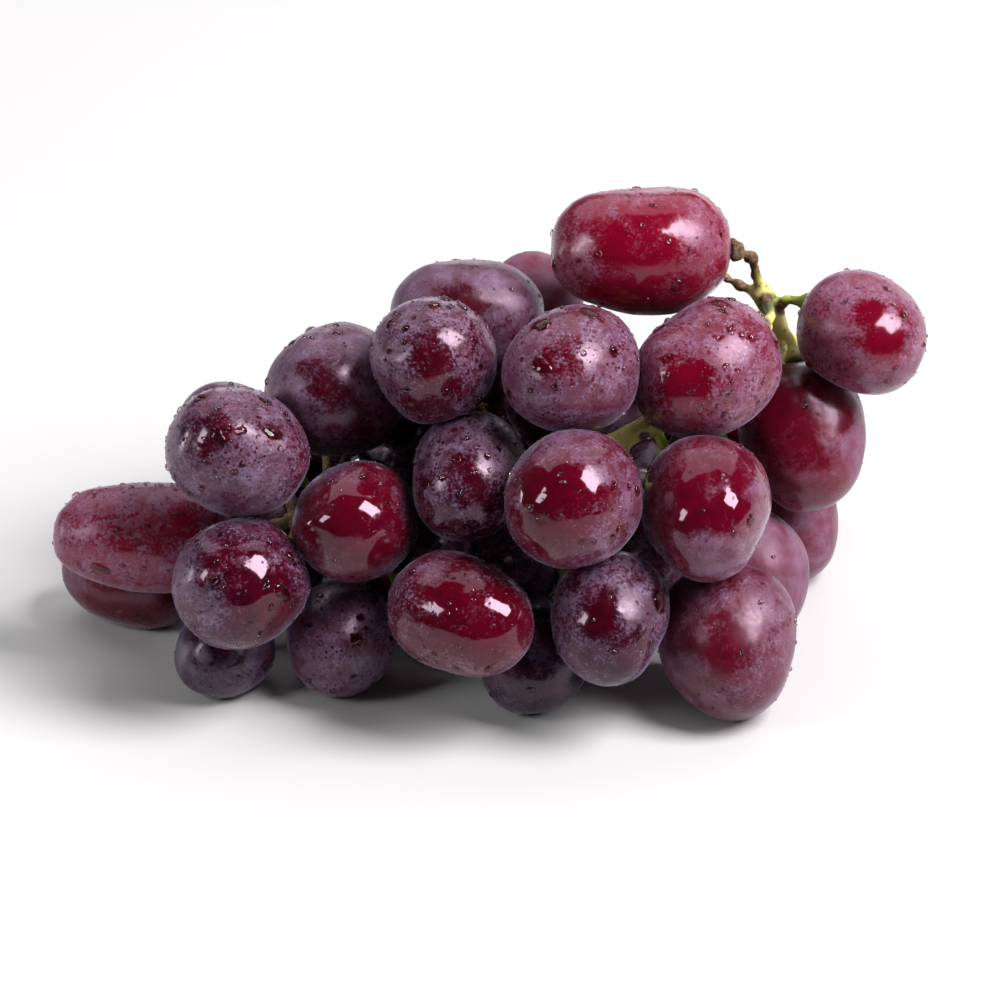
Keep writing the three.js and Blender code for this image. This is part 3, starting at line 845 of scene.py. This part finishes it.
@dataclass
class Grape:
    """One grape: a smooth skin that follows the plain solid of its node.

    Attributes:
        number: Its number, from 1.
        look: What sets it apart.
        side: How many faces its skin has along each side of the cube that it is made from.
        swells: The sizes of its swells and their heights, in metres.
        pucker: Height of the ring round the stalk, in metres.
        ring: Radius of that ring and its width, in metres.
        folds: How many folds cross the ring.
        dimple: Depth of the blossom scar, in metres.
        most_wax: The most wax that a corner of its skin has.
        dusty_dew: The look's dew from which its wax is as dusty as can be.
        floor_gap: The least height of its skin over the floor, in metres.
        merge_reach: How near two corners of the plain solid are that become one, in metres.
        pulls: How often, and by which share, the rounded solid is pulled out to the plain one's corners.
        contact: How many corners of the stem are looked at to find where the stalk meets the grape.
        lean: The least cosine between its long axis and its stalk. Below it, the stalk sets the axis.
        piece: The skin's object.
        tree: The skin's search tree.
        wax: The wax on each corner of the skin.
        centre: Its middle.
        stalk: The skin's corner at its stalk.
        blossom: The one at its other end.
        half: Half of its usual width, in metres.
    """

    number: int
    look: GrapeLook
    side: int
    swells: tuple[tuple[float, float], ...] = (
        (14 * MM, 0.32 * MM), (6 * MM, 0.1 * MM), (2.6 * MM, 0.016 * MM))
    pucker: float = 0.22 * MM
    ring: tuple[float, float] = (3.4 * MM, 1.5 * MM)
    folds: int = 9
    dimple: float = 0.22 * MM
    most_wax: float = 1.2
    dusty_dew: float = 1.2
    floor_gap: float = 0.02 * MM
    merge_reach: float = 0.35 * MM
    pulls: tuple[int, float] = (3, 0.8)
    contact: int = 10
    lean: float = 0.6
    piece: Thing | None = None
    tree: BVHTree | None = None
    wax: np.ndarray = field(default_factory=lambda: np.zeros(0))
    centre: Vector = field(default_factory=Vector)
    stalk: Vector = field(default_factory=Vector)
    blossom: Vector = field(default_factory=Vector)
    half: float = 0

    @property
    def node(self) -> str:
        """The name of the plain solid."""
        return f"grape_{self.number:02d}"

    def smooth_target(self) -> tuple[BVHTree, np.ndarray]:
        """Rounds the plain solid so that its smooth surface runs through the solid's corners.

        Returns:
            The search tree of the rounded surface, and the solid's corners.
        """
        cage = mesh_object(merged_copy(self.node, self.merge_reach), "cage")
        rounding = cage.modifiers.new("round", "SUBSURF")
        rounding.levels = rounding.render_levels = 2
        targets = corners(cage.data)
        rounds, share = self.pulls
        for _ in range(rounds):
            smooth = modified_mesh(cage)
            missing = targets - corners(smooth)[:len(targets)]
            move_corners(cage.data, corners(cage.data) + missing * share)
            bpy.data.meshes.remove(smooth)
        smooth = modified_mesh(cage)
        tree = tree_of(smooth)
        bpy.data.meshes.remove(smooth)
        remove(cage)
        return tree, targets

    def own_axes(self, targets: np.ndarray, stem_points: np.ndarray) -> Matrix:
        """Finds the grape's middle and its long axis, which points to the stalk.

        Args:
            targets: The plain solid's corners.
            stem_points: The stem's corners.

        Returns:
            The turn from the grape's own axes to the bunch's, as a 3 by 3 matrix.
        """
        self.centre = Vector((targets.min(axis=0) + targets.max(axis=0)) / 2)
        self.half = float(distances(targets, self.centre).mean())
        away = targets - np.array(self.centre)
        spread, axes = np.linalg.eigh(away.T @ away)
        axis = Vector(axes[:, int(np.argmax(spread))])
        nearest = np.argsort(distances(stem_points, self.centre))[:self.contact]
        closest = stem_points[nearest].mean(axis=0)
        toward_stem = (Vector(closest) - self.centre).normalized()
        if axis.dot(toward_stem) < 0:
            axis.negate()
        if axis.dot(toward_stem) < self.lean:
            axis = toward_stem
        return axis.to_track_quat("Z", "Y").to_matrix()

    def ball(self) -> Shape:
        """A cube with even faces, blown up to a ball with a radius of one.

        Returns:
            The ball.
        """
        shape = bmesh.new()
        bmesh.ops.create_cube(shape, size=2)
        bmesh.ops.subdivide_edges(shape, edges=shape.edges, cuts=self.side - 1, use_grid_fill=True)
        for corner in shape.verts:
            even = Vector(math.tan(part * math.pi / 4) for part in corner.co)
            corner.co = even.normalized()
        return shape

    def wrap(self, tree: BVHTree, turn: Matrix) -> Thing:
        """Lays the ball's corners on the rounded surface.

        Args:
            tree: The rounded surface.
            turn: The grape's own axes.

        Returns:
            The skin's object.
        """
        shape = self.ball()
        for corner in shape.verts:
            direction = turn @ corner.co
            hit = tree.ray_cast(self.centre, direction)[0]
            corner.co = hit if hit is not None else self.centre + direction * self.half
        even_out(shape, 1)
        return mesh_object(shape, f"{self.node}_skin")

    def build(self, stem_points: np.ndarray, material: bpy.types.Material) -> None:
        """Makes the skin.

        Args:
            stem_points: The stem's corners.
            material: The skin's material.
        """
        tree, targets = self.smooth_target()
        turn = self.own_axes(targets, stem_points)
        self.piece = self.wrap(tree, turn)
        mesh = self.piece.data
        points = corners(mesh)
        own = (points - np.array(self.centre)) @ np.array(turn)
        top, bottom = int(np.argmax(own[:, 2])), int(np.argmin(own[:, 2]))
        self.stalk, self.blossom = Vector(points[top]), Vector(points[bottom])
        points = self.sculpt(points, normals(mesh), own)
        points[:, 2] = np.maximum(points[:, 2], self.floor_gap)
        move_corners(mesh, points)
        self.tree = tree_of(mesh)
        self.paint_skin(points, own)
        finish_piece(self.piece, material)
        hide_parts(self.node)

    def sculpt(self, points: np.ndarray, outward: np.ndarray, own: np.ndarray) -> np.ndarray:
        """Adds the swells, the lobes, the puckered stalk end and the blossom scar.

        Args:
            points: The skin's corners.
            outward: Its normals.
            own: The corners in the grape's own axes.

        Returns:
            The moved corners.
        """
        shifted = own + self.number * 0.05
        height = sum(soft_noise(shifted, grain) * size for grain, size in self.swells)
        height += self.added(points, self.look.lobes, 2) * MM
        to_blossom = distances(points, self.blossom)
        around = np.arctan2(own[:, 1], own[:, 0])
        folds = 1 + 0.35 * np.cos(around * self.folds + self.number)
        height += self.pucker * bell(distances(points, self.stalk), *self.ring) * folds
        height -= self.dimple * bell(to_blossom, 0, 0.9 * MM)
        height += self.dimple * 0.9 * bell(to_blossom, 0, 0.5 * MM)
        return points + outward * height[:, None]

    def added(self, points: np.ndarray, spots: tuple[Spot, ...], fall: float) -> np.ndarray:
        """What some spots add up to at each corner of the skin.

        Args:
            points: The skin's corners.
            spots: The spots.
            fall: How sharply they end, from 2 for softly.

        Returns:
            One number for each corner.
        """
        away = points - np.array(self.centre)
        direction = away / np.linalg.norm(away, axis=1)[:, None]
        total = np.zeros(len(points))
        for spot in spots:
            distance = distances(direction, SIGHT.facing(spot.right, spot.up))
            total += spot.amount * np.exp(-((distance / spot.reach) ** fall))
        return total

    def paint_skin(self, points: np.ndarray, own: np.ndarray) -> None:
        """Stores what the material reads on the skin: the wax, the tone, the scar and so on.

        Args:
            points: The skin's corners.
            own: The corners in the grape's own axes, before the sculpting.
        """
        mesh = self.piece.data
        to_blossom = distances(points, self.blossom)
        wax = self.look.wax + self.added(points, self.look.patches, 4)
        wax += 0.25 * bell(distances(points, self.stalk), 0, 6 * MM)
        tone = np.full(len(points), self.look.tone) - 0.12 * bell(to_blossom, 0, 6 * MM)
        self.wax = np.clip(wax, 0, self.most_wax)
        paint(mesh, "wax", self.wax)
        paint(mesh, "tone", np.clip(tone, 0, 1))
        paint(mesh, "scar", bell(to_blossom, 0, 0.55 * MM))
        paint(mesh, "shine", np.full(len(points), self.look.shine))
        paint(mesh, "dusty", np.full(len(points), min(1, self.look.dew / self.dusty_dew)))
        paint(mesh, "own", own + self.number * 0.1)

    def soak(self, spot: Vector, reach: float) -> None:
        """Washes the wax away under a drop of water.

        Args:
            spot: The middle of the drop.
            reach: The drop's radius, in metres.
        """
        distance = distances(corners(self.piece.data), spot)
        self.wax = np.clip(self.wax - 0.9 * np.exp(-((distance / reach) ** 4)), 0, self.most_wax)
        self.piece.data.attributes["wax"].data.foreach_set("value", self.wax.astype(np.float32))


@dataclass
class Grapes:
    """All the grapes of the bunch.

    Attributes:
        front_side: Faces along a cube's side for a grape that shows from the front.
        hidden_side: The same for a hidden one.
        grapes: The grapes.
    """

    front_side: int = 34
    hidden_side: int = 24
    grapes: list[Grape] = field(default_factory=list)

    def build(self) -> list[Thing]:
        """Makes every grape's skin.

        Returns:
            The skins' objects.
        """
        stem_points = corners(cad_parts[STEM].data)
        materials = {skin.slot: skin.material() for skin in SKINS}
        for number in range(1, GRAPES + 1):
            look = look_of(number)
            side = self.front_side if number in LOOKS else self.hidden_side
            grape = Grape(number, look, side)
            grape.build(stem_points, materials[look.slot])
            self.grapes.append(grape)
        return [grape.piece for grape in self.grapes]


@dataclass(frozen=True)
class Area:
    """A round area of the picture, in millimetres.

    Attributes:
        right: How far right of the picture's middle it lies.
        up: How far above it.
        reach: Its radius.
    """

    right: float
    up: float
    reach: float


@dataclass
class Stem:
    """The branching stem: bark with knots, brown where it has dried, and brown as painted shade where it
    shows in the gaps between grapes.

    Attributes:
        merge_reach: How near two corners of the plain solid are that become one, in metres.
        voxel: The grain of its mesh, in metres.
        smoothing: How often its mesh is evened out.
        fullness: How far its bark is brought out again after that, in metres.
        relief: Height of its knots and dents, in metres.
        open_side: How far behind the middle it lies open to the air, in metres. Behind it the bark turns
            partly from the near-black painted shade of the inside to lime.
        dry_end: How much of it has dried brown from the cut, in metres.
        brown_and_shade_areas: Where it is brown wood, as seen from the front; the last four are painted
            shade on stalks that show in the gaps between grapes.
        yellow_and_painted_light_areas: Where it is pale yellow. The area at (25, 13.5) is partly painted
            light that brightens the inner stem in the shade between grapes.
        lime_areas: Where it is a fresh lime colour.
    """

    merge_reach: float = 0.02 * MM
    voxel: float = 0.5 * MM
    smoothing: int = 9
    fullness: float = 0.16 * MM
    relief: float = 0.28 * MM
    open_side: float = 8 * MM
    dry_end: float = 7 * MM
    # The last four areas are painted shade: they darken stalks that show in the gaps between grapes. The
    # others are brown wood.
    brown_and_shade_areas: tuple[Area, ...] = (
        Area(47, 51.5, 4), Area(50, 48.5, 3.2), Area(47, 43.5, 2.6), Area(53.4, 40.4, 1.3),
        Area(52.6, 35, 1.5), Area(56.6, 38.8, 1.4), Area(29, 12.5, 1.2), Area(-35, 7.6, 3),
        Area(-41, -3, 5), Area(29, 3.5, 3), Area(-3, 19, 2.5))
    # Area (25, 13.5, 6) brightens the inner stem in the shade between grapes: partly its own yellow-green,
    # partly painted light.
    yellow_and_painted_light_areas: tuple[Area, ...] = (
        Area(56.5, 33.5, 4.5), Area(52.5, 42.5, 2.2), Area(25, 13.5, 6))
    lime_areas: tuple[Area, ...] = (Area(24, 13.5, 8), Area(57.5, 41, 1.3))

    def build(self) -> list[Thing]:
        """Makes the stem.

        Returns:
            Its object, in a list.
        """
        rough = mesh_object(merged_copy(STEM, self.merge_reach), "stem_rough")
        remesh = rough.modifiers.new("remesh", "REMESH")
        remesh.mode = "VOXEL"
        remesh.voxel_size = self.voxel
        shape = bmesh.new()
        fine = modified_mesh(rough)
        shape.from_mesh(fine)
        even_out(shape, self.smoothing)
        remove(rough)
        bpy.data.meshes.remove(fine)
        piece = mesh_object(shape, "stem_bark")
        self.carve(piece.data)
        finish_piece(piece, Bark().material())
        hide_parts(STEM)
        return [piece]

    def carve(self, mesh: Mesh) -> None:
        """Adds the knots and dents, and stores where the bark is brown (dry wood, and painted shade in the
        gaps between grapes), yellow (partly painted light) and lime.

        Args:
            mesh: The stem's mesh.
        """
        points = corners(mesh)
        seen = SIGHT.picture(points)
        # The brown share is partly dry wood and partly painted shade on stalks in the gaps between grapes.
        wood_and_shade = self.share_of(seen, self.brown_and_shade_areas)
        yellow = self.share_of(seen, self.yellow_and_painted_light_areas)
        lime = self.share_of(seen, self.lime_areas)
        # The stem behind the open side is lifted partly out of the painted shade to lime.
        behind = np.clip((points[:, 1] - self.open_side) / (12 * MM), 0, 1) * 0.35
        lime = np.maximum(lime, behind)
        end = points[int(np.argmax(points[:, 1]))]
        wood_and_shade = np.maximum(wood_and_shade, np.clip(1.6 - distances(points, end) / self.dry_end, 0, 1))
        height = soft_noise(points, 2.4 * MM) * (0.4 + wood_and_shade)
        height += soft_noise(points, 1.1 * MM) * 0.4 * wood_and_shade
        points = points + normals(mesh) * (self.fullness + height * self.relief)[:, None]
        points[:, 2] = np.maximum(points[:, 2], 0)
        move_corners(mesh, points)
        paint(mesh, "wood_and_shade", np.clip(wood_and_shade + 0.12, 0, 1))
        paint(mesh, "yellow", yellow)
        paint(mesh, "lime", lime)

    @staticmethod
    def share_of(seen: np.ndarray, areas: tuple[Area, ...]) -> np.ndarray:
        """How far each point lies in some areas, from 0 to 1.

        Args:
            seen: The points as the camera sees them, in millimetres.
            areas: The areas.

        Returns:
            One number for each point.
        """
        share = np.zeros(len(seen))
        for area in areas:
            distance = distances(seen, (area.right, area.up))
            share = np.maximum(share, np.clip(1.5 - distance / area.reach, 0, 1))
        return share


class Dew(Enum):
    """Sizes of drop: the name of its piece, its radii in millimetres, how many lie on a usual grape,
    how many sides it has, and its height as a share of its radius."""

    MIST = ("dew_mist", 0.14, 0.32, 250, 6, 0.8)
    DROPS = ("dew_drops", 0.3, 0.75, 75, 8, 0.75)
    BEADS = ("dew_beads", 0.75, 1.3, 5, 16, 0.6)
    POOLS = ("dew_pools", 1.3, 2.3, 1.2, 24, 0.22)


@dataclass
class DewDrops:
    """The drops of water on the skins.

    Attributes:
        grapes: The grapes that they lie on.
        clear: How much free air a drop needs over it, in metres.
        around: How far off the middle of a grape lies that can cover a drop, in metres.
        hanging: The least upward part of the skin's normal under a drop.
        waver: How uneven the outline of a drop is.
        soaking: The smallest radius that washes wax away, in metres.
        seed: Where the random draws start.
    """

    grapes: Grapes
    clear: float = 2.2 * MM
    around: float = 30 * MM
    hanging: float = -0.55
    waver: float = 0.16
    soaking: float = 0.6 * MM
    seed: int = 11

    def build(self) -> list[Thing]:
        """Scatters the drops.

        Returns:
            One piece for each size.
        """
        water = Water().material()
        pieces = []
        for size in Dew:
            name, least, most, usual, sides, flatness = size.value
            shape = bmesh.new()
            template = self.dome(sides, flatness)
            draw = random.Random(self.seed + sides)
            for grape in self.grapes.grapes:
                count = round(usual * grape.look.dew)
                for _ in range(count):
                    self.add_drop(shape, template, grape, draw, least * MM, most * MM)
            bpy.data.meshes.remove(template)
            piece = mesh_object(shape, name)
            finish_piece(piece, water)
            pieces.append(piece)
        return pieces

    @staticmethod
    def dome(sides: int, flatness: float) -> Mesh:
        """A drop with a radius of one, closed below.

        Args:
            sides: How many sides it has.
            flatness: Its height as a share of its radius.

        Returns:
            Its mesh.
        """
        shape = bmesh.new()
        bmesh.ops.create_uvsphere(shape, u_segments=sides, v_segments=max(4, sides // 2 + 1), radius=1)
        cut = bmesh.ops.bisect_plane(
            shape, geom=shape.verts[:] + shape.edges[:] + shape.faces[:], plane_co=(0, 0, -0.3),
            plane_no=(0, 0, 1), clear_inner=True)
        rim = [part for part in cut["geom_cut"] if isinstance(part, bmesh.types.BMEdge)]
        bmesh.ops.contextual_create(shape, geom=rim)
        bmesh.ops.scale(shape, verts=shape.verts, vec=(1, 1, flatness))
        mesh = bpy.data.meshes.new("drop")
        shape.to_mesh(mesh)
        shape.free()
        return mesh

    def add_drop(self, shape: Shape, template: Mesh, grape: Grape,
                 draw: random.Random, least: float, most: float) -> None:
        """Adds one drop where the air over a random spot of the skin is free.

        Args:
            shape: The drops so far.
            template: The drop's shape.
            grape: The grape that it lies on.
            draw: The random numbers.
            least: The smallest radius, in metres.
            most: The largest.
        """
        direction = Vector((draw.gauss(0, 1), draw.gauss(0, 1), draw.gauss(0, 1))).normalized()
        size = least + (most - least) * draw.random() ** 2
        turn = draw.uniform(0, math.tau)
        stretch = draw.uniform(0.8, 1.2)
        spot, outward = grape.tree.ray_cast(grape.centre, direction)[:2]
        if spot is None or outward.z < self.hanging or self.covered(grape, spot, outward):
            return
        place = (
            Matrix.Translation(spot)
            @ outward.to_track_quat("Z", "Y").to_matrix().to_4x4()
            @ Matrix.Rotation(turn, 4, "Z")
        )
        phases = (draw.uniform(0, math.tau), draw.uniform(0, math.tau))
        drop = template.copy()
        for corner in drop.vertices:
            angle = math.atan2(corner.co.y, corner.co.x)
            uneven = math.sin(2 * angle + phases[0]) + 0.6 * math.sin(3 * angle + phases[1])
            reach = size * (1 + self.waver * uneven)
            below = place @ Vector((corner.co.x * reach * stretch, corner.co.y * reach / stretch, 0))
            foot, upward = grape.tree.find_nearest(below)[:2]
            corner.co = foot + upward * (corner.co.z * size)
        shape.from_mesh(drop)
        bpy.data.meshes.remove(drop)
        if size > self.soaking:
            grape.soak(spot, size)

    def covered(self, grape: Grape, spot: Vector, outward: Vector) -> bool:
        """Whether another grape lies close over a spot.

        Args:
            grape: The grape that the spot is on.
            spot: The spot.
            outward: The skin's normal there.

        Returns:
            True if something is in the way.
        """
        above = spot + outward * self.clear
        for other in self.grapes.grapes:
            if other is grape or (other.centre - spot).length > self.around:
                continue
            if other.tree.find_nearest(above, self.clear)[0] is not None:
                return True
        return False


@dataclass(frozen=True)
class Lamp:
    """A flat studio light.

    Attributes:
        name: Its name.
        toward: Its direction as the camera sees it: right, up and towards the camera.
        distance: From the bunch, in metres.
        size: Its width and height, in metres.
        glow: Its brightness, where 1 is a white that just reaches full.
        tint: Its colour.
    """

    name: str
    toward: tuple[float, float, float]
    distance: float
    size: tuple[float, float]
    glow: float
    tint: Colour = (1, 1, 1)

    def place(self) -> None:
        """Adds the light, turned to the bunch."""
        data = bpy.data.lights.new(self.name, "AREA")
        data.shape = "RECTANGLE"
        data.size, data.size_y = self.size
        data.energy = self.glow * math.pi * self.size[0] * self.size[1]
        data.color = self.tint
        SIGHT.aim(add_object(self.name, data), SIGHT.direction(*self.toward), self.distance)


@dataclass
class Studio:
    """The pale floor, the soft light and the camera.

    Attributes:
        floor_size: Width and depth of the floor, in metres.
        floor_colour: Its colour.
        air: Strength of the dim even light that fills the room.
        lamps: The lamps.
    """

    floor_size: float = 6
    floor_colour: Colour = (0.6, 0.61, 0.6)
    air: float = 0.03
    lamps: tuple[Lamp, ...] = (
        Lamp("window", (0.64, 0.54, 0.55), 1.3, (0.58, 0.86), 21.5, (1, 0.96, 0.99)),
        Lamp("side_pane", (-0.78, 0.2, 0.59), 0.9, (0.22, 0.34), 11),
        Lamp("side_slit", (-0.98, 0.06, -0.12), 0.9, (0.12, 0.4), 12),
        Lamp("overhead", (-0.05, 0.86, -0.1), 1.5, (2.4, 1.4), 1.4, (1, 0.96, 1)),
        Lamp("rear", (0.3, 0.55, -0.8), 1.4, (1.2, 0.5), 2.2, (0.9, 0.93, 1)),
    )

    def build(self) -> None:
        """Sets the stage."""
        self.lay_floor()
        for lamp in self.lamps:
            lamp.place()
        self.fill_air()
        self.set_camera()

    def lay_floor(self) -> None:
        """Lays the floor."""
        shape = bmesh.new()
        bmesh.ops.create_grid(shape, x_segments=1, y_segments=1, size=self.floor_size / 2)
        floor = mesh_object(shape, "floor")
        graph = Graph("floor")
        floor.data.materials.append(graph.surface(
            Base_Color=self.floor_colour, Roughness=0.6, Specular_IOR_Level=0.2))

    def fill_air(self) -> None:
        """Fills the room with a dim even light."""
        world = bpy.data.worlds.new("studio")
        world.use_nodes = True
        background = world.node_tree.nodes["Background"]
        background.inputs["Color"].default_value = (1, 1, 1, 1)
        background.inputs["Strength"].default_value = self.air
        bpy.context.scene.world = world
        bpy.context.scene.view_settings.view_transform = "Standard"

    def set_camera(self) -> None:
        """Puts the camera where the photo was taken from."""
        data = bpy.data.cameras.new("camera")
        data.sensor_width = SIGHT.sensor
        data.lens = SIGHT.sensor * SIGHT.distance / SIGHT.span
        data.clip_end = 4 * SIGHT.distance
        camera = add_object("camera", data)
        SIGHT.aim(camera, SIGHT.direction(0, 0, 1), SIGHT.distance)
        bpy.context.scene.camera = camera


def main() -> None:
    """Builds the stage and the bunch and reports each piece."""
    logging.basicConfig(level=logging.INFO, format="%(message)s")
    Studio().build()
    grapes = Grapes()
    for part in (grapes, Stem(), DewDrops(grapes)):
        for piece in part.build():
            log.info("%s: %d triangles", piece.name, triangles_of(piece.data))


if __name__ == "__main__":
    main()
